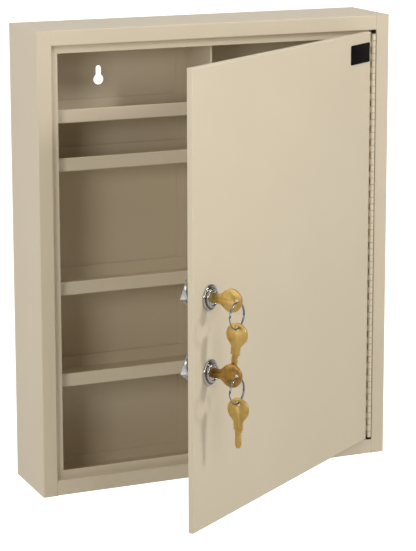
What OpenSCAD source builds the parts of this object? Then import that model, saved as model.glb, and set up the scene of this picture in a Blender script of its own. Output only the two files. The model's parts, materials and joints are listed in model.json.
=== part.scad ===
// Lockable wall medicine cabinet: a welded sheet-steel case with two columns of
// fixed shelves, a pan door on a continuous hinge, and two cam locks with keys.
// Modelled from the case's front bottom left corner, X right, Y back, Z up,
// then moved so the origin is the centre of the back face, where the wall is.

/* [Case] */
// overall width
body_w = 355.6; // [320:0.1:400]
// overall height
body_h = 435; // [400:1:480]
// overall depth, front plane to wall
body_d = 79.4; // [70:0.1:120]
// thickness of all the sheet steel
sheet = 1.0; // [0.8:0.1:1.2]
// inside radius of a bend in the sheet
bend_in = 0.3; // [0.2:0.1:0.6]
// width of the flanges that carry the back panel
rear_tab = 10; // [8:0.5:14]

/* [Front frame] */
// face width of the frame round the opening
frame_w = 14.5; // [13:0.1:18]
// depth of the recess that takes the door
jamb_d = 6.5; // [6.2:0.1:9]
// width of the strip the door closes against
stop_w = 7.4; // [5:0.1:9]
// reach of the corner welds over the stiles' rounded edges
weld_w = 0.9; // [0.5:0.1:1]

/* [Shelves] */
// height of the top shelf's lip above the case's foot
shelf_z1 = 360; // [345:0.5:372]
// the same for the second shelf
shelf_z2 = 315.2; // [300:0.1:330]
// the same for the third shelf
shelf_z3 = 198.9; // [180:0.1:220]
// the same for the fourth shelf
shelf_z4 = 111.4; // [90:0.1:130]
// how far the shelf edges stand behind the front plane
shelf_back = 17.5; // [17.5:0.1:22]
// height of a shelf's turned-up lips, front and rear
shelf_lip = 12.7; // [10:0.1:14]
// depth of the hem folded down behind the front lip
shelf_hem = 7; // [4:0.5:8]
// height of the tabs that fix a shelf at its ends
shelf_tab = 9; // [6:0.5:11]
// distance from a tab's ends to the shelf's two lips
shelf_tab_inset = 12; // [6:0.5:20]

/* [Door] */
// gap round the closed door
door_gap = 1.0; // [0.8:0.1:1.5]
// depth of the door's turned edges
door_depth = 5.5; // [4.5:0.1:5.7]
// outside radius of the door's edges
door_edge_r = 1.4; // [1.3:0.1:2]
// angle the door stands open at
door_open = 35; // [0:1:90]

/* [Hinge] */
// length of one knuckle with its gap
knuckle_pitch = 6.35; // [6:0.05:12.7]
// outside diameter of the knuckles
barrel_d = 4.0; // [3.8:0.1:4.6]
// diameter of the pin
hinge_pin_d = 2.0; // [1.8:0.1:2.2]
// thickness of the leaves
leaf_t = 0.9; // [0.8:0.05:0.95]
// how far the pin stands in front of the case
hinge_proud = 1.4; // [1.2:0.1:2]
// offset of the leaves, which leaves a gap at both sides of the knuckles
hinge_swage = 0.8; // [0.4:0.1:1.2]
// hinge left short of the opening at each end
hinge_short = 2.5; // [1.5:0.1:8]

/* [Locks] */
// lock axis to the door's free edge
lock_inset = 26; // [25.5:0.1:30]
// height of the upper lock's axis above the case's foot
lock_z1 = 219.9; // [218:0.1:227]
// the same for the lower lock
lock_z2 = 153.8; // [147:0.1:155]
// diameter of the rolled rim against the door
head_d = 23; // [22:0.5:25]
// height of that rim
head_t = 2.2; // [1.6:0.1:2.4]
// diameter of the raised boss
boss_d = 17.5; // [16:0.5:19]
// height of the boss above the door
boss_h = 4.5; // [4:0.1:6]
// rounding of the boss's front edge
boss_edge = 1.0; // [0.4:0.1:1]
// depth of the plug's face in the boss
plug_sunk = 0.5; // [0.3:0.1:3]
// diameter of the threaded barrel
barrel_lock_d = 18.6; // [17:0.1:19]
// length of the barrel behind the door's face
barrel_len = 18; // [17.4:0.1:18.5]
// diameter of the turning plug
plug_d = 11.5; // [10.5:0.1:12]
// cam length from the lock's axis to its tip
cam_reach = 27; // [26.4:0.1:27.5]
// cam width
cam_w = 19; // [16:0.5:19]
// cam thickness
cam_t = 2.2; // [1.8:0.1:2.4]
// gap from the door's face to the front of the cam's tip
cam_front = 8.2; // [8.1:0.1:8.8]
// angle the cam stands above level when locked
cam_up = 32; // [20:1:35]

/* [Keys] */
// key thickness
key_t = 2.0; // [1.8:0.1:2.1]
// diameter of the key's bow
bow_d = 20.5; // [18:0.1:21]
// length from shoulder to bow
neck_len = 8; // [7:0.1:9]
// width of the neck
neck_w = 8.5; // [7:0.1:9]
// length of the blade that enters the plug
blade_len = 16; // [14:0.1:16.5]
// width of the blade
blade_w = 5.6; // [5:0.1:5.8]
// diameter of the hole in the bow
bow_hole_d = 4.3; // [4.2:0.1:4.8]
// bow centre to hole
bow_hole_off = 5.2; // [4.8:0.1:5.6]
// outside diameter of the key ring
ring_d = 24.1; // [22:0.1:24.5]
// diameter of the ring's wire
wire_d = 1.0; // [0.8:0.05:1.1]
// how far the spare keys hang to the hinge side
spare_side = 2.3; // [2.2:0.05:2.6]
// lean of the upper spare key toward the door
spare_lean = 6; // [6:0.5:8]

/* [Wall fixing] */
// distance between the two keyholes
keyhole_pitch = 180; // [160:1:220]
// distance from the top of the case down to the keyholes
keyhole_drop = 57.5; // [50:0.5:70]
// diameter of the round part, which passes the screw head
keyhole_d = 10; // [8:0.5:12]
// width of the slot, which takes the shank
slot_w = 5.3; // [4:0.1:6]
// rise of the slot above the round part
slot_rise = 10.65; // [8:0.05:12]

/* [Hidden] */
$fn = 64;
e = 0.5;                                  // overrun of a cutting shape
run_clear = 0.05;                         // radial clearance of turning fits
slide_clear = 0.1;                        // clearance beside flat sliding fits
fold_r = bend_in + sheet / 2;             // bend radius at mid-thickness
back_y = body_d - sheet;                  // front of the back panel
inner_y = body_d - 2 * sheet;             // front of the rear flanges
tab_x = sheet + rear_tab;                 // inner edge of the rear flanges
stop_x = frame_w + stop_w;                // inner edge of the stop strips
mid_x = body_w / 2;
leaf_x = barrel_d / 2 + hinge_swage;      // pin to the face a leaf lies against
pivot_x = body_w - frame_w - leaf_x;
pivot_y = -hinge_proud;
door_x0 = frame_w + door_gap;             // free edge
door_x1 = pivot_x - leaf_x;               // hinge edge
door_z0 = frame_w + door_gap;
door_z1 = body_h - frame_w - door_gap;
leaf_y0 = pivot_y + barrel_d / 2 + 0.2;   // leaf clears the other knuckles
hinge_room = body_h - 2 * (frame_w + hinge_short);
knuckles = 2 * floor((hinge_room / knuckle_pitch - 1) / 2) + 1;
hinge_z0 = (body_h - knuckles * knuckle_pitch) / 2;
knuckle_gap = 0.2;
hinge_z1 = hinge_z0 + knuckles * knuckle_pitch - knuckle_gap;
lock_x = door_x0 + lock_inset;
nut_t = 3.0;
nut_r = 13.7;                             // across the corners
plug_head_r = plug_d / 2 + 0.8;
plug_head_t = 1.0;
rim_r = head_t / 2;                       // roll of the rim
plug_face = boss_h - plug_sunk;           // key's shoulder stops here
tenon = 7.0;                              // square end that turns the cam
washer_t = 0.8;
screw_head_t = 2.0;
screw_head_r = 3.5;
drive_w = 0.9;                            // slot for the screwdriver
drive_depth = 0.8;
screw_r = 1.75;
screw_len = 3.4;
cam_back = -barrel_len - cam_t;
bow_u = neck_len + bow_d / 2;             // bow centre from the shoulder
hole_u = bow_u + bow_hole_off;
ring_r = (ring_d - wire_d) / 2;
coil = 0.45 * wire_d;                     // half the pitch of the two coils
hang = 1.2;                               // ring's wire below the hole's centre
spare_hang = 0.5;                         // the same wire above a spare key's hole
spare_back = 0.65;                        // upper spare key nearer to the door
ring_n = plug_face + hole_u;              // ring's distance from the door face
spare_drop = hang + ring_r + sqrt(pow(ring_r, 2) - pow(spare_side, 2)) + spare_hang;
tip_len = 3;                              // taper of the blade's tip
tip_w = 3.2;
cut_depths = [0.9, 0.5, 0.9, 0.6];        // the key's cuts, from the shoulder
cut_first = 3.4;
cut_pitch = 2.6;
cut_flat = 0.4;

// Moves a piece from the case's corner to the origin on the back face.
module place() {
    translate([-body_w / 2, -body_d, -body_h / 2]) children();
}

// Carries a piece of the closed door round to where the door stands.
module on_door() {
    place()
        translate([pivot_x, pivot_y, 0])
            rotate([0, 0, door_open])
                translate([-pivot_x, -pivot_y, 0]) children();
}

// Lock axes: local z points out of the door, x to the hinge, y up.
module at_lock(lz) {
    on_door() translate([lock_x, 0, lz]) rotate([90, 0, 0]) children();
}

// One straight run of folded sheet, along its centre line from a to b.
module run(a, b) {
    along_x = abs(b[0] - a[0]) > abs(b[1] - a[1]);
    w = along_x ? abs(b[0] - a[0]) : sheet;
    h = along_x ? sheet : abs(b[1] - a[1]);
    x = along_x ? min(a[0], b[0]) : a[0] - sheet / 2;
    y = along_x ? a[1] - sheet / 2 : min(a[1], b[1]);
    translate([x, y]) square([w, h]);
}

// One right-angle bend at p, arriving in direction a and leaving in direction b.
module bend(p, a, b) {
    c = p + fold_r * (b - a);
    s = a - b;
    r = fold_r + sheet / 2;
    translate(c)
        intersection() {
            difference() {
                circle(r);
                circle(r - sheet);
            }
            translate([s[0] < 0 ? -r - e : 0, s[1] < 0 ? -r - e : 0]) square(r + e);
        }
}

function dir(a, b) = abs(b[0] - a[0]) > abs(b[1] - a[1])
    ? [sign(b[0] - a[0]), 0]
    : [0, sign(b[1] - a[1])];

// Cross-section of a sheet folded along a path of square corners.
module folded(path) {
    n = len(path);
    for (i = [0 : n - 2]) {
        d = dir(path[i], path[i + 1]);
        a = path[i] + (i > 0 ? fold_r : 0) * d;
        b = path[i + 1] - (i < n - 2 ? fold_r : 0) * d;
        run(a, b);
    }
    for (i = [1 : n - 2]) {
        bend(path[i], dir(path[i - 1], path[i]), dir(path[i], path[i + 1]));
    }
}

// Extrudes a section drawn in Y and Z along X, from x0 to x1.
module along_x(x0, x1) {
    translate([x0, 0, 0]) rotate([90, 0, 90]) linear_extrude(x1 - x0) children();
}

// ---- case ----

// Side panel, rear flange, stile, jamb and stop in one folded sheet.
module side_shape() {
    h = sheet / 2;
    difference() {
        linear_extrude(body_h)
            folded([
                [tab_x, back_y - h],
                [h, back_y - h],
                [h, h],
                [frame_w - h, h],
                [frame_w - h, jamb_d + h],
                [stop_x, jamb_d + h]
            ]);
        translate([sheet, sheet, -e]) cube([body_w, body_d, sheet + e]);
        translate([sheet, sheet, body_h - sheet]) cube([body_w, body_d, sheet + e]);
    }
}

// Weld dressed flush between the end of a rail and a stile's rounded edge, drawn
// for the left end of the bottom rail.
module corner_weld() {
    r = bend_in + sheet;
    translate([0, 0, r]) linear_extrude(frame_w - 2 * r)
        difference() {
            translate([frame_w - weld_w, 0]) square([weld_w + 0.1, 0.9 * sheet]);
            translate([frame_w - r, r]) circle(r);
        }
}

// Top panel, rear flange, rail, jamb and stop, notched to fit between the sides
// and welded to them.
module rail_shape() {
    h = sheet / 2;
    corner_weld();
    translate([body_w, 0, 0]) mirror([1, 0, 0]) corner_weld();
    difference() {
        along_x(sheet, body_w - sheet)
            folded([
                [back_y - h, tab_x],
                [back_y - h, h],
                [h, h],
                [h, frame_w - h],
                [jamb_d + h, frame_w - h],
                [jamb_d + h, stop_x]
            ]);
        for (x = [0, body_w - frame_w]) {
            translate([x, -e, -e]) cube([frame_w, sheet + e, stop_x + 2 * e]);
            translate([x, -e, sheet]) cube([frame_w, jamb_d + 3 * sheet, stop_x]);
        }
        for (x = [0, body_w - stop_x]) {
            translate([x, jamb_d, sheet]) cube([stop_x, 3 * sheet, stop_x]);
        }
        for (x = [0, body_w - tab_x]) {
            translate([x, inner_y - sheet, sheet]) cube([tab_x, 3 * sheet, stop_x]);
        }
    }
}

module left_side() {
    color([0.83, 0.78, 0.67]) place() side_shape();
}

module right_side() {
    color([0.83, 0.78, 0.67])
        place() translate([body_w, 0, 0]) mirror([1, 0, 0]) side_shape();
}

module bottom_panel() {
    color([0.83, 0.78, 0.67]) place() rail_shape();
}

module top_panel() {
    color([0.83, 0.78, 0.67])
        place() translate([0, 0, body_h]) mirror([0, 0, 1]) rail_shape();
}

// Flat back welded over the rear flanges, with two keyholes to hang it by.
module back_panel() {
    inset = 1.5;
    hole_z = body_h - keyhole_drop;
    color([0.83, 0.78, 0.67]) place()
        difference() {
            translate([inset, back_y, inset])
                cube([body_w - 2 * inset, sheet, body_h - 2 * inset]);
            for (x = [mid_x - keyhole_pitch / 2, mid_x + keyhole_pitch / 2]) {
                translate([x, body_d + e, hole_z]) rotate([90, 0, 0]) {
                    cylinder(h = sheet + 2 * e, d = keyhole_d);
                    translate([-slot_w / 2, 0, 0])
                        cube([slot_w, slot_rise, sheet + 2 * e]);
                    translate([0, slot_rise, 0])
                        cylinder(h = sheet + 2 * e, d = slot_w);
                }
            }
        }
}

// Upright between the columns: a sheet folded double, its fold to the front and
// its two edges turned out as flanges at the back.
module divider() {
    color([0.83, 0.78, 0.67]) place()
        difference() {
            translate([0, 0, sheet]) linear_extrude(body_h - 2 * sheet) {
                translate([mid_x, shelf_back + sheet]) circle(sheet);
                translate([mid_x - sheet, shelf_back + sheet])
                    square([2 * sheet, back_y - shelf_back - sheet]);
                translate([mid_x - sheet - rear_tab, inner_y])
                    square([2 * (sheet + rear_tab), sheet]);
            }
            translate([0, inner_y, -e]) cube([body_w, body_d, tab_x + e]);
            translate([0, inner_y, body_h - tab_x]) cube([body_w, body_d, tab_x + e]);
        }
}

// One shelf: an upward channel with a hemmed front lip and a tab at each end.
module shelf(x0, top) {
    w = mid_x - 2 * sheet;
    h = sheet / 2;
    floor_z = top - shelf_lip;
    fold_z = top - sheet;
    tab_y0 = shelf_back + shelf_tab_inset;
    tab_y1 = inner_y - shelf_tab_inset;
    color([0.83, 0.78, 0.67]) place() {
        along_x(x0, x0 + w) {
            folded([
                [shelf_back + h, fold_z],
                [shelf_back + h, floor_z + h],
                [inner_y - h, floor_z + h],
                [inner_y - h, top]
            ]);
            translate([shelf_back + sheet, fold_z])
                intersection() {
                    circle(sheet);
                    translate([-2 * sheet, 0]) square([4 * sheet, 2 * sheet]);
                }
            translate([shelf_back + sheet, fold_z - shelf_hem]) square([sheet, shelf_hem]);
        }
        for (x = [x0, x0 + w - sheet]) {
            translate([x, tab_y0, floor_z + h])
                cube([sheet, tab_y1 - tab_y0, shelf_tab + h]);
        }
    }
}

module shelf_left_1() { shelf(sheet, shelf_z1); }
module shelf_left_2() { shelf(sheet, shelf_z2); }
module shelf_left_3() { shelf(sheet, shelf_z3); }
module shelf_left_4() { shelf(sheet, shelf_z4); }
module shelf_right_1() { shelf(mid_x + sheet, shelf_z1); }
module shelf_right_2() { shelf(mid_x + sheet, shelf_z2); }
module shelf_right_3() { shelf(mid_x + sheet, shelf_z3); }
module shelf_right_4() { shelf(mid_x + sheet, shelf_z4); }

// ---- hinge ----

// Half of the continuous hinge about the origin: side +1 lies on the jamb, -1 on
// the door. Every other knuckle belongs to it, curled from the leaf's joggled edge.
module hinge_leaf(side, first, y1) {
    r = barrel_d / 2;
    y0 = leaf_y0 - pivot_y;
    mirror([side > 0 ? 0 : 1, 0, 0]) {
        translate([leaf_x - leaf_t, y0, hinge_z0])
            cube([leaf_t, y1 - leaf_y0, hinge_z1 - hinge_z0]);
        for (i = [first : 2 : knuckles - 1]) {
            translate([0, 0, hinge_z0 + i * knuckle_pitch])
                linear_extrude(knuckle_pitch - knuckle_gap)
                    difference() {
                        union() {
                            circle(r);
                            translate([r - leaf_t, 0]) square([leaf_t, y0 + leaf_t]);
                            translate([r - leaf_t, y0]) square([leaf_t + hinge_swage, leaf_t]);
                        }
                        circle(hinge_pin_d / 2 + run_clear);
                    }
        }
    }
}

module hinge_case_leaf() {
    color([0.72, 0.69, 0.62])
        place() translate([pivot_x, pivot_y, 0]) hinge_leaf(1, 0, jamb_d - bend_in);
}

module hinge_door_leaf() {
    color([0.72, 0.69, 0.62])
        on_door() translate([pivot_x, pivot_y, 0])
            hinge_leaf(-1, 1, door_depth - 0.2);
}

// Hinge pin, staked over the end knuckles.
module hinge_pin() {
    stake = 0.3;
    color([0.72, 0.73, 0.75]) place() translate([pivot_x, pivot_y, 0]) {
        translate([0, 0, hinge_z0 - stake])
            cylinder(h = hinge_z1 - hinge_z0 + 2 * stake, d = hinge_pin_d);
        translate([0, 0, hinge_z0 - stake]) cylinder(h = stake, d = barrel_d - 1);
        translate([0, 0, hinge_z1]) cylinder(h = stake, d = barrel_d - 1);
    }
}

// ---- door ----

// Rectangle w by d whose two corners at y = 0 are rounded.
module soft_front(w, d, r) {
    translate([0, r]) square([w, d - r]);
    translate([r, 0]) square([w - 2 * r, r + 0.1]);
    translate([r, r]) circle(r);
    translate([w - r, r]) circle(r);
}

// Solid block with its front edges rounded all round.
module soft_block(x0, x1, y0, y1, z0, z1, r) {
    intersection() {
        translate([x0, y0, z0])
            linear_extrude(z1 - z0) soft_front(x1 - x0, y1 - y0, r);
        translate([x1, y0, z0])
            rotate([0, -90, 0])
                linear_extrude(x1 - x0)
                    soft_front(z1 - z0, y1 - y0, r);
    }
}

// Door pressed as a shallow pan, pierced for the two locks.
module door_panel() {
    t = sheet;
    color([0.86, 0.81, 0.70]) on_door()
        difference() {
            soft_block(door_x0, door_x1, 0, door_depth, door_z0, door_z1, door_edge_r);
            soft_block(door_x0 + t, door_x1 - t, t, door_depth + e,
                door_z0 + t, door_z1 - t, door_edge_r - t);
            for (z = [lock_z1, lock_z2]) {
                translate([lock_x, t + e, z]) rotate([90, 0, 0])
                    cylinder(h = t + 2 * e, d = barrel_lock_d + 2 * slide_clear);
            }
        }
}

// ---- locks ----

// Lock case: rolled rim and hollow boss before the door, threaded barrel behind it.
module lock_body(lz) {
    mouth_z = plug_face - plug_head_t - slide_clear;
    color([0.78, 0.79, 0.81]) at_lock(lz)
        difference() {
            union() {
                rotate_extrude() {
                    square([head_d / 2, rim_r]);
                    translate([head_d / 2 - rim_r, rim_r])
                        intersection() {
                            circle(rim_r);
                            translate([-rim_r, -0.1]) square([2 * rim_r, rim_r + e]);
                        }
                    square([boss_d / 2, boss_h - boss_edge]);
                    square([boss_d / 2 - boss_edge, boss_h]);
                    translate([boss_d / 2 - boss_edge, boss_h - boss_edge])
                        circle(boss_edge);
                }
                translate([0, 0, -barrel_len])
                    cylinder(h = barrel_len + 0.1, d = barrel_lock_d);
            }
            translate([0, 0, -barrel_len - e])
                cylinder(h = barrel_len + boss_h + 2 * e, d = plug_d + 2 * run_clear);
            translate([0, 0, mouth_z])
                cylinder(h = boss_h - mouth_z + e, r = plug_head_r + slide_clear);
        }
}

// Hexagon nut that clamps the lock to the door.
module lock_nut(lz) {
    color([0.70, 0.71, 0.72]) at_lock(lz)
        translate([0, 0, -sheet - nut_t])
            difference() {
                cylinder(h = nut_t, r = nut_r, $fn = 6);
                translate([0, 0, -e])
                    cylinder(h = nut_t + 2 * e, d = barrel_lock_d + 2 * run_clear);
            }
}

// Plug: keyway in front, square end behind with a tapped hole for the cam screw.
module plug(lz) {
    slot_w2 = key_t + 2 * slide_clear;
    slot_h = blade_w + 4 * slide_clear;
    color([0.80, 0.76, 0.60]) at_lock(lz)
        difference() {
            union() {
                translate([0, 0, -barrel_len])
                    cylinder(h = barrel_len + plug_face, d = plug_d);
                translate([0, 0, plug_face - plug_head_t])
                    cylinder(h = plug_head_t, r = plug_head_r);
                rotate([0, 0, 180 - cam_up])
                    translate([-tenon / 2, -tenon / 2, cam_back])
                        cube([tenon, tenon, cam_t + 0.1]);
            }
            translate([-slot_w2 / 2, -slot_h / 2, plug_face - blade_len - 0.5])
                cube([slot_w2, slot_h, blade_len + 0.5 + e]);
            translate([0, 0, cam_back - e])
                cylinder(h = e + screw_len + 0.4 - washer_t, r = screw_r + run_clear);
        }
}

// Cam: flat bar joggled forward past the lock's barrel, with a rounded tip.
module cam(lz) {
    x0 = barrel_lock_d / 2 + 1.5;
    rise = barrel_len - cam_front;
    step = 5;
    k = cam_t * (sqrt(pow(step, 2) + pow(rise, 2)) - step) / rise;
    r = cam_w / 2;
    color([0.83, 0.84, 0.85]) at_lock(lz) rotate([0, 0, 180 - cam_up])
        difference() {
            intersection() {
                translate([0, r + e, 0]) rotate([90, 0, 0])
                    linear_extrude(cam_w + 2 * e)
                        polygon([
                            [-r - e, -barrel_len],
                            [x0, -barrel_len],
                            [x0 + step, -cam_front],
                            [cam_reach + e, -cam_front],
                            [cam_reach + e, -cam_front - cam_t],
                            [x0 + step + k, -cam_front - cam_t],
                            [x0 + k, cam_back],
                            [-r - e, cam_back]
                        ]);
                translate([0, 0, cam_back - e]) linear_extrude(barrel_len) {
                    circle(r);
                    translate([0, -r]) square([cam_reach - r, cam_w]);
                    translate([cam_reach - r, 0]) circle(r);
                }
            }
            translate([-tenon / 2 - slide_clear, -tenon / 2 - slide_clear, cam_back - e])
                cube([tenon + 2 * slide_clear, tenon + 2 * slide_clear, cam_t + 2 * e]);
        }
}

module cam_washer(lz) {
    color([0.75, 0.76, 0.77]) at_lock(lz)
        translate([0, 0, cam_back - washer_t])
            difference() {
                cylinder(h = washer_t, r = 5.5);
                translate([0, 0, -e])
                    cylinder(h = washer_t + 2 * e, r = screw_r + 2 * run_clear);
            }
}

// Slotted screw that holds the cam on the plug.
module cam_screw(lz) {
    seat = cam_back - washer_t;
    color([0.75, 0.76, 0.77]) at_lock(lz)
        difference() {
            union() {
                translate([0, 0, seat - screw_head_t])
                    cylinder(h = screw_head_t, r1 = screw_head_r - 0.5, r2 = screw_head_r);
                translate([0, 0, seat - 0.1]) cylinder(h = screw_len + 0.1, r = screw_r);
            }
            translate([-screw_head_r - e, -drive_w / 2, seat - screw_head_t - e])
                cube([2 * (screw_head_r + e), drive_w, drive_depth + e]);
        }
}

module upper_lock_body() { lock_body(lock_z1); }
module lower_lock_body() { lock_body(lock_z2); }
module upper_lock_nut() { lock_nut(lock_z1); }
module lower_lock_nut() { lock_nut(lock_z2); }
module upper_plug() { plug(lock_z1); }
module lower_plug() { plug(lock_z2); }
module upper_cam() { cam(lock_z1); }
module lower_cam() { cam(lock_z2); }
module upper_cam_washer() { cam_washer(lock_z1); }
module lower_cam_washer() { cam_washer(lock_z2); }
module upper_cam_screw() { cam_screw(lock_z1); }
module lower_cam_screw() { cam_screw(lock_z2); }

// ---- keys ----

// Flat key along x from its shoulder at the origin: blade to -x, bow to +x. The
// cuts are in one edge of the blade and a groove is milled in each face.
module key_shape() {
    b = blade_w / 2;
    cheek = 0.8;
    flare = 7.6;
    flare_h = sqrt(bow_d * bow_d / 4 - flare * flare) - 0.1;
    groove_w = 1.0;
    difference() {
        translate([0, 0, -key_t / 2]) linear_extrude(key_t)
            difference() {
                union() {
                    translate([bow_u, 0]) circle(d = bow_d);
                    translate([0, -neck_w / 2]) square([neck_len, neck_w]);
                    polygon([
                        [0, -neck_w / 2],
                        [neck_len - cheek, -neck_w / 2],
                        [bow_u - flare, -flare_h],
                        [bow_u - flare, flare_h],
                        [neck_len - cheek, neck_w / 2],
                        [0, neck_w / 2]
                    ]);
                    polygon([
                        [0.1, b],
                        [tip_len - blade_len, b],
                        [-blade_len, tip_w / 2],
                        [-blade_len, -tip_w / 2],
                        [tip_len - blade_len, -b],
                        [0.1, -b]
                    ]);
                }
                translate([hole_u, 0]) circle(d = bow_hole_d);
                for (i = [0 : len(cut_depths) - 1]) {
                    d = cut_depths[i];
                    translate([-cut_first - i * cut_pitch, -b])
                        polygon([
                            [-cut_flat / 2 - d - e, -e],
                            [-cut_flat / 2, d],
                            [cut_flat / 2, d],
                            [cut_flat / 2 + d + e, -e]
                        ]);
                }
            }
        for (s = [-1, 1]) {
            translate([-blade_len - e, 0.1, s * key_t / 2 - 0.4])
                cube([blade_len + neck_len / 2 + e, groove_w, 0.8]);
        }
    }
}

// Key standing upright in the lock.
module key_in(lz) {
    color([0.75, 0.60, 0.28]) at_lock(lz)
        translate([0, 0, plug_face]) rotate([0, -90, 0]) key_shape();
}

// Split ring: two coils of wire, hung through the hole of the key in the lock.
module ring(lz) {
    color([0.70, 0.71, 0.74]) at_lock(lz)
        translate([0, -hang - ring_r, ring_n])
            rotate_extrude() {
                translate([ring_r, coil]) circle(d = wire_d);
                translate([ring_r, -coil]) circle(d = wire_d);
            }
}

// Spare key hung by its bow from the bottom of the ring, blade down, a little
// nearer to the door by back and leaning toward it.
module key_spare(lz, lean, back) {
    color([0.75, 0.60, 0.28]) at_lock(lz)
        translate([spare_side, -spare_drop, ring_n - back])
            rotate([lean, 0, 0])
                rotate([0, -90, 0])
                    rotate([0, 0, 90])
                        translate([-hole_u, 0, 0]) key_shape();
}

module upper_key() { key_in(lock_z1); }
module lower_key() { key_in(lock_z2); }
module upper_ring() { ring(lock_z1); }
module lower_ring() { ring(lock_z2); }
module upper_spare_key() { key_spare(lock_z1, spare_lean, spare_back); }
module lower_spare_key() { key_spare(lock_z2, 0, 0); }

left_side();
right_side();
top_panel();
bottom_panel();
back_panel();
divider();
shelf_left_1();
shelf_left_2();
shelf_left_3();
shelf_left_4();
shelf_right_1();
shelf_right_2();
shelf_right_3();
shelf_right_4();
hinge_case_leaf();
hinge_pin();
door_panel();
hinge_door_leaf();
upper_lock_body();
lower_lock_body();
upper_lock_nut();
lower_lock_nut();
upper_plug();
lower_plug();
upper_cam();
lower_cam();
upper_cam_washer();
lower_cam_washer();
upper_cam_screw();
lower_cam_screw();
upper_key();
lower_key();
upper_ring();
lower_ring();
upper_spare_key();
lower_spare_key();
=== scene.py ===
import json
import math

import bpy
from mathutils import Matrix, Vector


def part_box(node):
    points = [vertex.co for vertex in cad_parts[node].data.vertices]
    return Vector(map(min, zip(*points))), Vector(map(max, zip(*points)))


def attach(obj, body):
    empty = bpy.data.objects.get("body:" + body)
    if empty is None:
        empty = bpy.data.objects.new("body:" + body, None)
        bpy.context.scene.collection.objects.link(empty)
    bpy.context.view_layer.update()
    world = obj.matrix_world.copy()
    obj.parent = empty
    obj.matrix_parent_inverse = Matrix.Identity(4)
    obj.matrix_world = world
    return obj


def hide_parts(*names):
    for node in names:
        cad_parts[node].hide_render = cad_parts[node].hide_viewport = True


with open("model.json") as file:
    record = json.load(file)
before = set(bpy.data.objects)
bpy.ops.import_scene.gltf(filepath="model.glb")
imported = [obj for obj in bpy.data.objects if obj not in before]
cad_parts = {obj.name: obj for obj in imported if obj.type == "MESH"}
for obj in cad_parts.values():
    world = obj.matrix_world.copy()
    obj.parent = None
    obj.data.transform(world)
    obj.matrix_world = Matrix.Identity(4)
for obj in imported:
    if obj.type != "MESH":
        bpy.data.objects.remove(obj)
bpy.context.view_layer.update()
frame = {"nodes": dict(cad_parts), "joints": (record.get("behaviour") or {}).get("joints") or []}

# ---- Case: sides, top, bottom, back, divider and shelves ----
# Folded 1 mm mild steel sheets, spot-welded into a shallow box, with the corners of
# the front frame welded and dressed, and powder-coated beige inside and out in one go.

MM = 0.001


def linear(code):
    """A colour written as sRGB hex, as the linear values that a shader takes."""
    parts = [int(code[i : i + 2], 16) / 255 for i in (1, 3, 5)]
    return [p / 12.92 if p <= 0.04045 else ((p + 0.055) / 1.055) ** 2.4 for p in parts] + [1]


def add_node(material, kind, **settings):
    """Adds a node. Another node's output is linked to the socket of that name, a value
    is set on it, and what names no socket is a setting of the node itself."""
    tree = material.node_tree
    node = tree.nodes.new(kind)
    for name, value in settings.items():
        sockets = [s for s in node.inputs if name in (s.identifier, s.name.replace(" ", "_"))]
        if isinstance(value, bpy.types.NodeSocket):
            tree.links.new(value, sockets[0])
        elif sockets:
            sockets[0].default_value = value
        else:
            setattr(node, name, value)
    return node


def new_finish(name):
    """An empty material and the coordinates of the piece it is on, in metres."""
    material = bpy.data.materials.new(name)
    material.use_nodes = True
    material.node_tree.nodes.clear()
    place = add_node(material, "ShaderNodeTexCoord").outputs["Object"]
    return material, place


def finish_with(material, shader):
    add_node(material, "ShaderNodeOutputMaterial", Surface=shader.outputs[0])
    return material


def dress(node, material):
    """Gives a CAD node its finish."""
    slots = frame["nodes"][node].data.materials
    slots.clear()
    slots.append(material)


# Polyester powder coat, baked: semi-matt, about 0.08 mm thick, with a fine orange peel
# and faint clouds. On the case a hairline shows where a rail is welded to a stile, but
# not at the top left corner, which is dressed flush. Painted shade darkens the corner
# beside the hinge and the gaps above and below it, where shadow falls in the recess.
COAT_BEIGE = "#D6C9B0"
COAT_SHADE = "#D0C2A8"
COAT_SEAM = "#8F8066"
# Painted shade: the colour laid into the shadowed corner beside the hinge and into the gaps above and
# below it.
COAT_PAINTED_SHADE = "#33240F"
CLOUD_SIZE = 90 * MM
PEEL_SIZE = 1.6 * MM
SEAM_WIDTH = 0.35 * MM
SEAM_BEAD = 6 * MM
FACE_SKIN = 0.5 * MM
JAMB_SKIN = 0.4 * MM
FRAME_WIDTH = 14.5 * MM
RECESS_DEPTH = 9 * MM
WELD_REACH = 0.9 * MM
PAINTED_SHADE_CORE = 0.5 * MM
PAINTED_SHADE_REACH = 1.4 * MM
HINGE_GAP = 3.6 * MM
HINGE_GAP_WIDTH = 4.4 * MM

left_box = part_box("left_side")
case_half = -left_box[0][0]
case_front = left_box[0][1]
case_top = left_box[1][2]
jamb_x = case_half - FRAME_WIDTH
jamb_z = case_top - FRAME_WIDTH
seam_x = jamb_x + WELD_REACH


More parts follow.
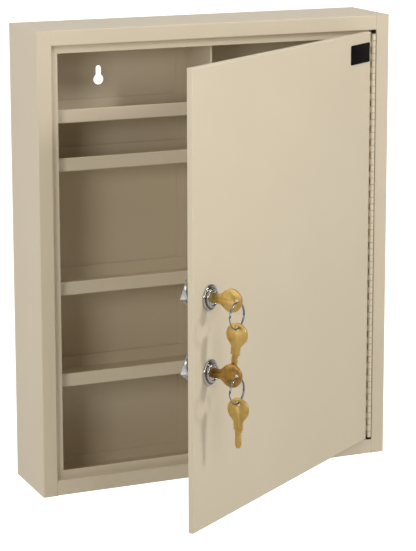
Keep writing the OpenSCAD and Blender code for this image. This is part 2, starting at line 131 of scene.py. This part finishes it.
def powder_coat(name, marks):
    material, place = new_finish(name)
    clouds = add_node(
        material, "ShaderNodeTexNoise", Vector=place, Scale=1 / CLOUD_SIZE, Detail=3, Roughness=0.5
    )
    colour = add_node(
        material,
        "ShaderNodeMix",
        data_type="RGBA",
        Factor_Float=clouds.outputs[0],
        A_Color=linear(COAT_SHADE),
        B_Color=linear(COAT_BEIGE),
    )
    peel = add_node(
        material, "ShaderNodeTexNoise", Vector=place, Scale=1 / PEEL_SIZE, Detail=2, Roughness=0.4
    )
    if marks:
        axes = add_node(material, "ShaderNodeSeparateXYZ", Vector=place)
        aside = add_node(material, "ShaderNodeMath", operation="ABSOLUTE", Value=axes.outputs["X"])
        aloft = add_node(material, "ShaderNodeMath", operation="ABSOLUTE", Value=axes.outputs["Z"])
        line = add_node(
            material,
            "ShaderNodeMath",
            operation="COMPARE",
            Value=aside.outputs[0],
            Value_001=seam_x,
            Value_002=SEAM_WIDTH / 2,
        )
        on_face = add_node(
            material,
            "ShaderNodeMath",
            operation="LESS_THAN",
            Value=axes.outputs["Y"],
            Value_001=case_front + FACE_SKIN,
        )
        bead = add_node(
            material, "ShaderNodeTexNoise", Vector=place, Scale=1 / SEAM_BEAD, Detail=1, Roughness=0.5
        )
        fill = add_node(
            material,
            "ShaderNodeMapRange",
            Value=bead.outputs[0],
            From_Min=0.35,
            From_Max=0.65,
            To_Min=0.15,
            To_Max=0.65,
        )
        right_or_low = add_node(
            material,
            "ShaderNodeMath",
            operation="MULTIPLY_ADD",
            Value=axes.outputs["X"],
            Value_001=2.0,
            Value_002=0.2,
        )
        not_top_left = add_node(
            material,
            "ShaderNodeMath",
            operation="GREATER_THAN",
            Value=right_or_low.outputs[0],
            Value_001=axes.outputs["Z"],
        )
        line_on_face = add_node(
            material,
            "ShaderNodeMath",
            operation="MULTIPLY",
            Value=line.outputs[0],
            Value_001=on_face.outputs[0],
        )
        open_line = add_node(
            material,
            "ShaderNodeMath",
            operation="MULTIPLY",
            Value=line_on_face.outputs[0],
            Value_001=not_top_left.outputs[0],
        )
        seam = add_node(
            material,
            "ShaderNodeMath",
            operation="MULTIPLY",
            Value=open_line.outputs[0],
            Value_001=fill.outputs[0],
        )
        seamed = add_node(
            material,
            "ShaderNodeMix",
            data_type="RGBA",
            Factor_Float=seam.outputs[0],
            A_Color=colour.outputs["Result"],
            B_Color=linear(COAT_SEAM),
        )
        # Painted shade: the jamb's bend beside the hinge, and the gaps above and below the hinge, are
        # darkened inside the recess where shadow falls.
        beside_hinge = add_node(
            material,
            "ShaderNodeMapRange",
            Value=axes.outputs["X"],
            From_Min=jamb_x + PAINTED_SHADE_REACH,
            From_Max=jamb_x + PAINTED_SHADE_CORE,
            To_Min=0,
            To_Max=0.7,
        )
        at_jamb = add_node(
            material,
            "ShaderNodeMath",
            operation="COMPARE",
            Value=axes.outputs["X"],
            Value_001=jamb_x + PAINTED_SHADE_REACH / 2,
            Value_002=PAINTED_SHADE_REACH / 2 + 0.1 * MM,
        )
        jamb_painted_shade = add_node(
            material,
            "ShaderNodeMath",
            operation="MULTIPLY",
            Value=beside_hinge.outputs[0],
            Value_001=at_jamb.outputs[0],
        )
        in_opening = add_node(
            material,
            "ShaderNodeMath",
            operation="LESS_THAN",
            Value=aloft.outputs[0],
            Value_001=jamb_z + JAMB_SKIN,
        )
        corner_painted_shade = add_node(
            material,
            "ShaderNodeMath",
            operation="MULTIPLY",
            Value=jamb_painted_shade.outputs[0],
            Value_001=in_opening.outputs[0],
        )
        near_jamb = add_node(
            material,
            "ShaderNodeMath",
            operation="COMPARE",
            Value=axes.outputs["X"],
            Value_001=jamb_x + JAMB_SKIN - HINGE_GAP_WIDTH / 2,
            Value_002=HINGE_GAP_WIDTH / 2,
        )
        past_hinge = add_node(
            material,
            "ShaderNodeMath",
            operation="COMPARE",
            Value=aloft.outputs[0],
            Value_001=jamb_z + JAMB_SKIN - HINGE_GAP / 2,
            Value_002=HINGE_GAP / 2,
        )
        gap_painted_shade = add_node(
            material,
            "ShaderNodeMath",
            operation="MULTIPLY",
            Value=near_jamb.outputs[0],
            Value_001=past_hinge.outputs[0],
        )
        in_recess = add_node(
            material,
            "ShaderNodeMath",
            operation="LESS_THAN",
            Value=axes.outputs["Y"],
            Value_001=case_front + RECESS_DEPTH,
        )
        all_darkening = add_node(
            material,
            "ShaderNodeMath",
            operation="MAXIMUM",
            Value=corner_painted_shade.outputs[0],
            Value_001=gap_painted_shade.outputs[0],
        )
        painted_shade = add_node(
            material,
            "ShaderNodeMath",
            operation="MULTIPLY",
            Value=all_darkening.outputs[0],
            Value_001=in_recess.outputs[0],
        )
        colour = add_node(
            material,
            "ShaderNodeMix",
            data_type="RGBA",
            Factor_Float=painted_shade.outputs[0],
            A_Color=seamed.outputs["Result"],
            B_Color=linear(COAT_PAINTED_SHADE),
        )
    dimples = add_node(
        material, "ShaderNodeBump", Height=peel.outputs[0], Strength=0.12, Distance=0.08 * MM
    )
    sheen = add_node(
        material, "ShaderNodeMapRange", Value=peel.outputs[0], To_Min=0.5, To_Max=0.62
    )
    coat = add_node(
        material,
        "ShaderNodeBsdfPrincipled",
        Base_Color=colour.outputs["Result"],
        Roughness=sheen.outputs[0],
        Normal=dimples.outputs[0],
        IOR=1.5,
    )
    return finish_with(material, coat)


case_coat = powder_coat("powder_coat_case", marks=True)
CASE_SHEETS = ["left_side", "right_side", "top_panel", "bottom_panel", "back_panel", "divider"]
SHELVES = [f"shelf_{side}_{level}" for side in ("left", "right") for level in (1, 2, 3, 4)]
for sheet in CASE_SHEETS + SHELVES:
    dress(sheet, case_coat)

# ---- Hinge ----
# A continuous steel hinge as long as the opening: two swaged leaves spot-welded to the
# jamb and the door, curled into quarter-inch knuckles round one drawn wire pin, and
# painted with the rest. Oil and dirt darken the joints between the knuckles.

KNUCKLE_PITCH = 6.35 * MM
JOINT_SHADOW = 0.35 * MM
HINGE_DIRT_AND_SHADE = "#7A6B54"
HINGE_PAINT = "#DCD0B6"

joints = {joint["name"]: joint for joint in frame["joints"]}
hinge_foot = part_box("hinge_case_leaf")[0][2]
hinge_x = joints["door_hinge"]["pos_m"][0]

# Powder coat worn smooth on the knuckles: a shade lighter and glossier than the case,
# with a thin brown line at every joint between two knuckles, and painted shade
# darkening the flanks of the barrel on each side of the pin.
hinge_paint, hinge_place = new_finish("painted_hinge_steel")
hinge_axes = add_node(hinge_paint, "ShaderNodeSeparateXYZ", Vector=hinge_place)
above_foot = add_node(
    hinge_paint,
    "ShaderNodeMath",
    operation="SUBTRACT",
    Value=hinge_axes.outputs["Z"],
    Value_001=hinge_foot - 0.1 * MM,
)
to_joint = add_node(
    hinge_paint,
    "ShaderNodeMath",
    operation="PINGPONG",
    Value=above_foot.outputs[0],
    Value_001=KNUCKLE_PITCH / 2,
)
joint_dirt = add_node(
    hinge_paint,
    "ShaderNodeMapRange",
    Value=to_joint.outputs[0],
    From_Min=0.1 * MM,
    From_Max=JOINT_SHADOW,
    To_Min=0.8,
    To_Max=0,
)
from_pin = add_node(
    hinge_paint,
    "ShaderNodeMath",
    operation="SUBTRACT",
    Value=hinge_axes.outputs["X"],
    Value_001=hinge_x,
)
off_pin = add_node(hinge_paint, "ShaderNodeMath", operation="ABSOLUTE", Value=from_pin.outputs[0])
# Painted shade: the barrel's flanks, 1.3 to 1.9 mm off the pin, are darkened where the curve turns
# away from the light.
flank_painted_shade = add_node(
    hinge_paint,
    "ShaderNodeMapRange",
    Value=off_pin.outputs[0],
    From_Min=1.3 * MM,
    From_Max=1.9 * MM,
    To_Min=0,
    To_Max=0.4,
)
all_darkening = add_node(
    hinge_paint,
    "ShaderNodeMath",
    operation="MAXIMUM",
    Value=joint_dirt.outputs[0],
    Value_001=flank_painted_shade.outputs[0],
)
hinge_colour = add_node(
    hinge_paint,
    "ShaderNodeMix",
    data_type="RGBA",
    Factor_Float=all_darkening.outputs[0],
    A_Color=linear(HINGE_PAINT),
    B_Color=linear(HINGE_DIRT_AND_SHADE),
)
hinge_wear = add_node(
    hinge_paint, "ShaderNodeTexNoise", Vector=hinge_place, Scale=1 / (2 * MM), Detail=2
)
hinge_sheen = add_node(
    hinge_paint, "ShaderNodeMapRange", Value=hinge_wear.outputs[0], To_Min=0.25, To_Max=0.45
)
hinge_coat = add_node(
    hinge_paint,
    "ShaderNodeBsdfPrincipled",
    Base_Color=hinge_colour.outputs["Result"],
    Roughness=hinge_sheen.outputs[0],
    IOR=1.5,
)
finish_with(hinge_paint, hinge_coat)
dress("hinge_case_leaf", hinge_paint)
dress("hinge_door_leaf", hinge_paint)

# Drawn wire, dulled by oil: dark satin grey with fine streaks.
pin_steel, pin_place = new_finish("drawn_wire_steel")
pin_streaks = add_node(
    pin_steel, "ShaderNodeTexNoise", Vector=pin_place, Scale=1 / (0.5 * MM), Detail=2
)
pin_gloss = add_node(
    pin_steel, "ShaderNodeMapRange", Value=pin_streaks.outputs[0], To_Min=0.35, To_Max=0.6
)
pin_metal = add_node(
    pin_steel,
    "ShaderNodeBsdfPrincipled",
    Base_Color=linear("#6E6A62"),
    Metallic=1,
    Roughness=pin_gloss.outputs[0],
)
finish_with(pin_steel, pin_metal)
dress("hinge_pin", pin_steel)

# ---- Door ----
# A shallow pan pressed from 1 mm steel with its edges turned back, powder-coated with
# the case. A bare black plastic plate is glued to its top corner beside the hinge.

dress("door_panel", powder_coat("powder_coat_door", marks=False))

upper_lock = Vector(joints["upper_lock_turn"]["pos_m"])
out_of_door = Vector(joints["upper_lock_turn"]["axis"])
up = Vector((0, 0, 1))
to_hinge = up.cross(out_of_door)
door_turn = Matrix((to_hinge, up, out_of_door)).transposed().to_4x4()


def on_door(x, y):
    """Axes on the door's face: X to the hinge and Y up from the upper lock's axis, and
    Z out of the door."""
    return Matrix.Translation(upper_lock + x * to_hinge + y * up) @ door_turn


def fix_in_place(piece, place):
    """Moves a piece, leaving its object at the origin with the place in its mesh."""
    bpy.ops.object.select_all(action="DESELECT")
    piece.select_set(True)
    bpy.context.view_layer.objects.active = piece
    piece.matrix_world = place
    bpy.ops.object.transform_apply(location=True, rotation=True, scale=True)


PLATE_SIZE = (37.5 * MM, 18.6 * MM)
PLATE_THICK = 0.5 * MM
PLATE_CORNER = 1.5 * MM
LOCK_TO_DOOR_EDGE = 294.0 * MM
PLATE_TO_DOOR_EDGE = 2.9 * MM
PLATE_UP = 180.6 * MM

bpy.ops.object.select_all(action="DESELECT")
bpy.ops.mesh.primitive_plane_add(size=1)
plate = bpy.context.object
plate.name = "door_plate"
bpy.ops.object.mode_set(mode="EDIT")
bpy.ops.transform.resize(value=(PLATE_SIZE[0], PLATE_SIZE[1], 1))
bpy.ops.mesh.bevel(offset=PLATE_CORNER, segments=6, affect="VERTICES")
bpy.ops.mesh.extrude_region_move(TRANSFORM_OT_translate={"value": (0, 0, PLATE_THICK)})
bpy.ops.mesh.bevel(offset=0.15 * MM, segments=2, affect="EDGES")
bpy.ops.mesh.select_all(action="SELECT")
bpy.ops.mesh.normals_make_consistent(inside=False)
bpy.ops.object.mode_set(mode="OBJECT")
plate_x = LOCK_TO_DOOR_EDGE - PLATE_TO_DOOR_EDGE - PLATE_SIZE[0] / 2
fix_in_place(plate, on_door(plate_x, PLATE_UP))
bpy.ops.object.shade_smooth_by_angle(angle=math.radians(30))

# Black ABS, moulded with a light satin grain: reads near black, with a soft grey sheen.
plate_abs, plate_place = new_finish("black_abs")
grain = add_node(
    plate_abs, "ShaderNodeTexNoise", Vector=plate_place, Scale=1 / (0.4 * MM), Detail=2
)
grain_bump = add_node(
    plate_abs, "ShaderNodeBump", Height=grain.outputs[0], Strength=0.3, Distance=0.03 * MM
)
plate_gloss = add_node(
    plate_abs, "ShaderNodeMapRange", Value=grain.outputs[0], To_Min=0.45, To_Max=0.65
)
plate_plastic = add_node(
    plate_abs,
    "ShaderNodeBsdfPrincipled",
    Base_Color=linear("#0A0908"),
    Roughness=plate_gloss.outputs[0],
    Normal=grain_bump.outputs[0],
    IOR=1.54,
    Specular_IOR_Level=0.06,
)
plate.data.materials.append(finish_with(plate_abs, plate_plastic))
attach(plate, "door")

# ---- Lock cases ----
# Two cam locks die-cast in zinc and chrome-plated: a rolled rim against the door, a
# groove, a hollow boss with a rounded lip, and a barrel threaded for the nut behind.

RIM_RADIUS = 11.5
RIM_ROLL = 1.1
BOSS_RADIUS = 8.75
BOSS_TOP = 4.5
BOSS_EDGE = 1.0
MOUTH_RADIUS = 6.65
MOUTH_LIP = 0.5
MOUTH_FLOOR = 2.9
BORE_RADIUS = 5.8
BARREL_RADIUS = 9.25
BARREL_BACK = -18.0
THREAD_START = -17.2
THREAD_PITCH = 1.3
THREAD_DEPTH = 0.55
THREAD_TURNS = 10


def arc(centre, radius, start, end, steps):
    """Points on an arc from one angle to another, in degrees, both ends included."""
    angles = [math.radians(start + (end - start) * i / steps) for i in range(steps + 1)]
    return [
        (centre[0] + radius * math.cos(a), centre[1] + radius * math.sin(a)) for a in angles
    ]


def turned(name, profile, segments=72):
    """A piece turned about Z: a circle, extruded and scaled along a closed outline of
    radii and heights in millimetres."""
    bpy.ops.object.select_all(action="DESELECT")
    radius, height = profile[0]
    bpy.ops.mesh.primitive_circle_add(
        vertices=segments, radius=radius * MM, location=(0, 0, height * MM)
    )
    piece = bpy.context.object
    piece.name = name
    bpy.ops.object.transform_apply(location=True)
    bpy.ops.object.mode_set(mode="EDIT")
    bpy.ops.mesh.select_all(action="SELECT")
    for here, there in zip(profile, profile[1:] + profile[:1]):
        rise = (there[1] - here[1]) * MM
        growth = there[0] / here[0]
        bpy.ops.mesh.extrude_region_move(TRANSFORM_OT_translate={"value": (0, 0, rise)})
        bpy.ops.transform.resize(value=(growth, growth, 1), center_override=(0, 0, 0))
    bpy.ops.mesh.select_all(action="SELECT")
    bpy.ops.mesh.remove_doubles(threshold=0.001 * MM)
    bpy.ops.mesh.normals_make_consistent(inside=False)
    bpy.ops.object.mode_set(mode="OBJECT")
    bpy.ops.object.shade_smooth_by_angle(angle=math.radians(42))
    return piece


def copy_of(piece, name):
    """A second piece with a mesh of its own."""
    twin = piece.copy()
    twin.data = piece.data.copy()
    twin.name = name
    bpy.context.scene.collection.objects.link(twin)
    return twin


outline = [(BORE_RADIUS, BARREL_BACK), (BARREL_RADIUS - 0.8, BARREL_BACK)]
for turn in range(THREAD_TURNS):
    root_z = THREAD_START + turn * THREAD_PITCH
    outline.append((BARREL_RADIUS - THREAD_DEPTH, root_z))
    outline.append((BARREL_RADIUS, root_z + 0.45 * THREAD_PITCH))
    outline.append((BARREL_RADIUS, root_z + 0.6 * THREAD_PITCH))
outline.append((BARREL_RADIUS - THREAD_DEPTH, THREAD_START + THREAD_TURNS * THREAD_PITCH))
outline.append((BARREL_RADIUS, -3.6))
outline += [(BARREL_RADIUS, 0), (RIM_RADIUS - 0.1, 0), (RIM_RADIUS, 0.1)]
outline += arc((RIM_RADIUS - RIM_ROLL, RIM_ROLL), RIM_ROLL, 0, 180, 10)
outline += [(BOSS_RADIUS, RIM_ROLL - 0.2)]
outline += arc((BOSS_RADIUS - BOSS_EDGE, BOSS_TOP - BOSS_EDGE), BOSS_EDGE, 0, 90, 6)
outline += arc((MOUTH_RADIUS + MOUTH_LIP, BOSS_TOP - MOUTH_LIP), MOUTH_LIP, 90, 180, 4)
outline += [(MOUTH_RADIUS, MOUTH_FLOOR), (BORE_RADIUS, MOUTH_FLOOR)]

upper_case = turned("upper_lock_case", outline)
lower_case = copy_of(upper_case, "lower_lock_case")

# Bright chrome over the casting: mirror-like with faint polishing haze.
chrome, chrome_place = new_finish("chrome_plate")
haze = add_node(
    chrome, "ShaderNodeTexNoise", Vector=chrome_place, Scale=1 / (2.5 * MM), Detail=3
)
chrome_gloss = add_node(
    chrome, "ShaderNodeMapRange", Value=haze.outputs[0], To_Min=0.06, To_Max=0.16
)
chrome_metal = add_node(
    chrome,
    "ShaderNodeBsdfPrincipled",
    Base_Color=linear("#BDBAB5"),
    Metallic=1,
    Roughness=chrome_gloss.outputs[0],
)
finish_with(chrome, chrome_metal)
for lock, piece in (("upper", upper_case), ("lower", lower_case)):
    lock_height = joints[f"{lock}_lock_turn"]["pos_m"][2]
    fix_in_place(piece, on_door(0, lock_height - upper_lock.z))
    piece.data.materials.append(chrome)
    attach(piece, "door")
    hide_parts(f"{lock}_lock_body")

# ---- Plugs ----
# The turning plug of each lock, die-cast and chrome-plated. Its face lies sunk in the
# boss and takes the key; its square tail behind carries the cam.


def eased(node, name, body, ease):
    """A CAD node's own shape with the sharp edges eased, as tumbling or plating leaves
    them: its loose triangles are merged and its flat faces made whole, then bevelled."""
    bpy.ops.object.select_all(action="DESELECT")
    piece = bpy.data.objects.new(name, frame["nodes"][node].data.copy())
    bpy.context.scene.collection.objects.link(piece)
    piece.select_set(True)
    bpy.context.view_layer.objects.active = piece
    bpy.ops.object.mode_set(mode="EDIT")
    bpy.ops.mesh.select_all(action="SELECT")
    bpy.ops.mesh.remove_doubles(threshold=0.002 * MM)
    bpy.ops.mesh.dissolve_limited(angle_limit=math.radians(1))
    bpy.ops.object.mode_set(mode="OBJECT")
    bevel = piece.modifiers.new("eased_edges", "BEVEL")
    bevel.width = ease
    bevel.segments = 2
    bevel.limit_method = "ANGLE"
    bevel.angle_limit = math.radians(35)
    bpy.ops.object.modifier_apply(modifier=bevel.name)
    bpy.ops.object.shade_smooth_by_angle(angle=math.radians(35))
    piece.data.materials.clear()
    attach(piece, body)
    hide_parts(node)
    return piece


for lock in ("upper", "lower"):
    plug = eased(f"{lock}_plug", f"{lock}_lock_plug", f"{lock}_lock_core", 0.15 * MM)
    plug.data.materials.append(chrome)

# ---- Nuts, cams, washers and screws ----
# Steel pressings and turned parts, zinc-plated. A hexagon nut clamps each lock to the
# door, and a washer and a slotted screw hold the joggled cam on the plug's square tail.

# Bright zinc plate: pale silver, satin, with a cloudy spangle a few millimetres across.
zinc, zinc_place = new_finish("bright_zinc_plate")
spangle = add_node(
    zinc, "ShaderNodeTexVoronoi", Vector=zinc_place, Scale=1 / (3 * MM), feature="SMOOTH_F1"
)
scuffs = add_node(
    zinc, "ShaderNodeTexNoise", Vector=zinc_place, Scale=1 / (0.8 * MM), Detail=3
)
zinc_colour = add_node(
    zinc,
    "ShaderNodeMix",
    data_type="RGBA",
    Factor_Float=scuffs.outputs[0],
    A_Color=linear("#C9CCCF"),
    B_Color=linear("#E2E3E4"),
)
zinc_gloss = add_node(
    zinc,
    "ShaderNodeMapRange",
    Value=spangle.outputs["Distance"],
    To_Min=0.22,
    To_Max=0.38,
)
zinc_metal = add_node(
    zinc,
    "ShaderNodeBsdfPrincipled",
    Base_Color=zinc_colour.outputs["Result"],
    Metallic=1,
    Roughness=zinc_gloss.outputs[0],
)
finish_with(zinc, zinc_metal)
for lock in ("upper", "lower"):
    core = f"{lock}_lock_core"
    hardware = [
        eased(f"{lock}_lock_nut", f"{lock}_hex_nut", "door", 0.35 * MM),
        eased(f"{lock}_cam", f"{lock}_cam_bar", core, 0.4 * MM),
        eased(f"{lock}_cam_washer", f"{lock}_washer", core, 0.12 * MM),
        eased(f"{lock}_cam_screw", f"{lock}_screw", core, 0.2 * MM),
    ]
    for piece in hardware:
        piece.data.materials.append(zinc)

# ---- Keys ----
# Four flat keys, blanked from 2 mm brass strip, with a groove milled along each face
# and the cuts filed in one edge. Three are polished, and the lower lock's own is darker.


def brass(name, bright, tarnish, amount):
    """Brass: warm yellow, polished along the key and browned in patches by handling."""
    material, place = new_finish(name)
    stretch = add_node(material, "ShaderNodeMapping", Vector=place, Scale=(1, 1, 0.08))
    polish = add_node(
        material,
        "ShaderNodeTexNoise",
        Vector=stretch.outputs[0],
        Scale=1 / (0.25 * MM),
        Detail=3,
    )
    patches = add_node(
        material, "ShaderNodeTexNoise", Vector=place, Scale=1 / (7 * MM), Detail=3, Roughness=0.6
    )
    browned = add_node(
        material,
        "ShaderNodeMapRange",
        Value=patches.outputs[0],
        From_Min=0.4,
        From_Max=0.7,
        To_Min=0,
        To_Max=amount,
    )
    colour = add_node(
        material,
        "ShaderNodeMix",
        data_type="RGBA",
        Factor_Float=browned.outputs[0],
        A_Color=linear(bright),
        B_Color=linear(tarnish),
    )
    gloss = add_node(
        material, "ShaderNodeMapRange", Value=polish.outputs[0], To_Min=0.34, To_Max=0.5
    )
    scratches = add_node(
        material, "ShaderNodeBump", Height=polish.outputs[0], Strength=0.15, Distance=0.02 * MM
    )
    metal = add_node(
        material,
        "ShaderNodeBsdfPrincipled",
        Base_Color=colour.outputs["Result"],
        Metallic=1,
        Roughness=gloss.outputs[0],
        Normal=scratches.outputs[0],
    )
    return finish_with(material, metal)


polished_brass = brass("polished_brass", "#DDBB72", "#B98E48", 0.6)
handled_brass = brass("handled_brass", "#C39A55", "#8A6630", 0.9)
for lock, finish in (("upper", polished_brass), ("lower", handled_brass)):
    key = eased(f"{lock}_key", f"{lock}_lock_key", f"{lock}_key_body", 0.25 * MM)
    spare = eased(f"{lock}_spare_key", f"{lock}_hung_key", f"{lock}_spare_body", 0.25 * MM)
    key.data.materials.append(finish)
    spare.data.materials.append(polished_brass)

# ---- Key rings ----
# Split rings wound from 1 mm spring-steel wire: two coils side by side, with a short
# crossover where the first coil steps over to the second and both cut ends meet it.

RING_RADIUS = 11.55 * MM
WIRE_RADIUS = 0.5 * MM
COIL_STEP = 0.45 * MM
RING_HANG = 1.2 * MM
WIRE_START, WIRE_END, WIRE_STEP = 22, 698, 4
CROSSOVER = 40
CROSSOVER_AT = 200

# The wire's centre line, from one end to the other.
wire = bpy.data.curves.new("split_ring_wire", "CURVE")
wire.dimensions = "3D"
wire.bevel_depth = WIRE_RADIUS
wire.bevel_resolution = 4
wire.use_fill_caps = True
line = wire.splines.new("POLY")
line.points.add((WIRE_END - WIRE_START) // WIRE_STEP)
for i, point in enumerate(line.points):
    along = WIRE_START + i * WIRE_STEP
    crossed = min(max((along - 360) / CROSSOVER + 0.5, 0), 1)
    rise = COIL_STEP * (2 * crossed * crossed * (3 - 2 * crossed) - 1)
    angle = math.radians(along + CROSSOVER_AT)
    point.co = (RING_RADIUS * math.cos(angle), RING_RADIUS * math.sin(angle), rise, 1)
upper_ring = bpy.data.objects.new("upper_split_ring", wire)
bpy.context.scene.collection.objects.link(upper_ring)
bpy.ops.object.select_all(action="DESELECT")
upper_ring.select_set(True)
bpy.context.view_layer.objects.active = upper_ring
bpy.ops.object.convert(target="MESH")
bpy.ops.object.shade_smooth_by_angle(angle=math.radians(50))
lower_ring = copy_of(upper_ring, "lower_split_ring")

# Spring steel, oiled and blackened a little: dark grey with bright rubbed streaks.
spring_steel, spring_place = new_finish("spring_steel_wire")
rubbed = add_node(
    spring_steel, "ShaderNodeTexNoise", Vector=spring_place, Scale=1 / (2 * MM), Detail=3
)
spring_colour = add_node(
    spring_steel,
    "ShaderNodeMix",
    data_type="RGBA",
    Factor_Float=rubbed.outputs[0],
    A_Color=linear("#6F747C"),
    B_Color=linear("#A4A8AE"),
)
spring_metal = add_node(
    spring_steel,
    "ShaderNodeBsdfPrincipled",
    Base_Color=spring_colour.outputs["Result"],
    Metallic=1,
    Roughness=0.22,
)
finish_with(spring_steel, spring_metal)
for lock, ring in (("upper", upper_ring), ("lower", lower_ring)):
    hole = Vector(joints[f"{lock}_ring_swing"]["pos_m"])
    middle = hole - (RING_HANG + RING_RADIUS) * up
    fix_in_place(ring, Matrix.Translation(middle) @ door_turn)
    ring.data.materials.append(spring_steel)
    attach(ring, f"{lock}_ring_body")
    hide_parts(f"{lock}_ring")

# ---- Studio ----
# The cabinet hangs well above a pale floor, before a white backdrop that lights its
# sides from behind. Small soft boxes stand at the right, where the keys throw their
# shadows on the door, and at the front left; larger ones in front, at the left and above.

YAW, PITCH, ROLL = math.radians(23.263), math.radians(-10.716), math.radians(0.109)
EYE = (-0.7796, -1.8667, 0.4264)
FOCAL_PX, LONG_SIDE_PX = 2117.2, 551
camera_data = bpy.data.cameras.new("camera")
camera_data.sensor_fit = "AUTO"
camera_data.sensor_width = 36
camera_data.lens = FOCAL_PX * camera_data.sensor_width / LONG_SIDE_PX
camera_data.shift_y = -0.15
camera = bpy.data.objects.new("camera", camera_data)
bpy.context.scene.collection.objects.link(camera)
aim = Matrix.Rotation(-YAW, 4, "Z") @ Matrix.Rotation(math.pi / 2 + PITCH, 4, "X")
camera.matrix_world = Matrix.Translation(EYE) @ aim @ Matrix.Rotation(-ROLL, 4, "Z")
bpy.context.scene.camera = camera


def soft_box(name, azimuth, elevation, distance, size, watts):
    """A square lamp aimed at the cabinet. Azimuth 0 is in front, 90 at the right."""
    a, e = math.radians(azimuth), math.radians(elevation)
    away = Vector((math.sin(a) * math.cos(e), -math.cos(a) * math.cos(e), math.sin(e)))
    lamp = bpy.data.lights.new(name, "AREA")
    lamp.shape = "SQUARE"
    lamp.size = size
    lamp.energy = watts
    holder = bpy.data.objects.new(name, lamp)
    holder.location = Vector((0, -0.1, 0)) + distance * away
    holder.rotation_euler = away.to_track_quat("Z", "Y").to_euler()
    bpy.context.scene.collection.objects.link(holder)


soft_box("right_box", azimuth=52.5, elevation=26.5, distance=2.2, size=0.3, watts=17.5)
soft_box("front_box", azimuth=8, elevation=20, distance=0.85, size=0.4, watts=1.45)
soft_box("stile_box", azimuth=-46.5, elevation=14, distance=1.3, size=0.36, watts=3.9)
soft_box("left_box", azimuth=-80, elevation=14, distance=1.3, size=0.6, watts=2.6)
soft_box("top_box", azimuth=0, elevation=65, distance=1.1, size=0.7, watts=2.2)

world = bpy.data.worlds.new("white_surround")
bpy.context.scene.world = world
world.use_nodes = True
world.node_tree.nodes.clear()
direction = add_node(world, "ShaderNodeTexCoord").outputs["Generated"]
compass = add_node(world, "ShaderNodeSeparateXYZ", Vector=direction)
fill_light = add_node(
    world, "ShaderNodeMapRange", Value=compass.outputs["Y"], From_Min=-1, To_Min=0.06, To_Max=1.0
)
mirrored = add_node(
    world,
    "ShaderNodeMapRange",
    Value=compass.outputs["Y"],
    From_Min=0.1,
    From_Max=0.9,
    To_Min=0.05,
    To_Max=1.0,
)
rays = add_node(world, "ShaderNodeLightPath")
shiny = add_node(
    world,
    "ShaderNodeMath",
    operation="MAXIMUM",
    Value=rays.outputs["Is Glossy Ray"],
    Value_001=rays.outputs["Is Transmission Ray"],
)
unseen = add_node(
    world,
    "ShaderNodeMix",
    data_type="FLOAT",
    Factor_Float=shiny.outputs[0],
    A_Float=fill_light.outputs[0],
    B_Float=mirrored.outputs[0],
)
white = add_node(
    world,
    "ShaderNodeMix",
    data_type="FLOAT",
    Factor_Float=rays.outputs["Is Camera Ray"],
    A_Float=unseen.outputs[0],
    B_Float=1.0,
)
sky = add_node(world, "ShaderNodeBackground", Color=linear("#FFFFFF"), Strength=white.outputs[0])
add_node(world, "ShaderNodeOutputWorld", Surface=sky.outputs[0])

# The floor: pale matt vinyl, white where it runs back into the surround.
FLOOR_HEIGHT = -0.75
FLOOR_SIZE = 24.0
bpy.ops.object.select_all(action="DESELECT")
bpy.ops.mesh.primitive_plane_add(size=FLOOR_SIZE, location=(0, 0, FLOOR_HEIGHT))
floor = bpy.context.object
floor.name = "floor"
bpy.ops.object.transform_apply(location=True)
vinyl, vinyl_place = new_finish("pale_floor")
from_foot = add_node(vinyl, "ShaderNodeVectorMath", operation="LENGTH", Vector=vinyl_place)
far = add_node(
    vinyl,
    "ShaderNodeMapRange",
    Value=from_foot.outputs["Value"],
    From_Min=0.9,
    From_Max=1.8,
    To_Min=0.72,
    To_Max=1.0,
)
floor_axes = add_node(vinyl, "ShaderNodeSeparateXYZ", Vector=vinyl_place)
behind = add_node(
    vinyl,
    "ShaderNodeMapRange",
    Value=floor_axes.outputs["Y"],
    From_Min=0.5,
    From_Max=2.5,
    To_Min=0.05,
    To_Max=1.0,
)
floor_rays = add_node(vinyl, "ShaderNodeLightPath")
floor_mirrored = add_node(
    vinyl,
    "ShaderNodeMath",
    operation="MULTIPLY",
    Value=behind.outputs[0],
    Value_001=floor_rays.outputs["Is Glossy Ray"],
)
glow = add_node(
    vinyl,
    "ShaderNodeMath",
    operation="MULTIPLY_ADD",
    Value=far.outputs[0],
    Value_001=floor_rays.outputs["Is Camera Ray"],
    Value_002=floor_mirrored.outputs[0],
)
matt = add_node(vinyl, "ShaderNodeBsdfDiffuse", Color=linear("#D8D6D2"))
white_floor = add_node(
    vinyl, "ShaderNodeEmission", Color=linear("#FFFFFF"), Strength=glow.outputs[0]
)
vinyl_surface = add_node(vinyl, "ShaderNodeAddShader")
vinyl.node_tree.links.new(matt.outputs[0], vinyl_surface.inputs[0])
vinyl.node_tree.links.new(white_floor.outputs[0], vinyl_surface.inputs[1])
floor.data.materials.append(finish_with(vinyl, vinyl_surface))

bpy.context.scene.view_settings.view_transform = "Standard"
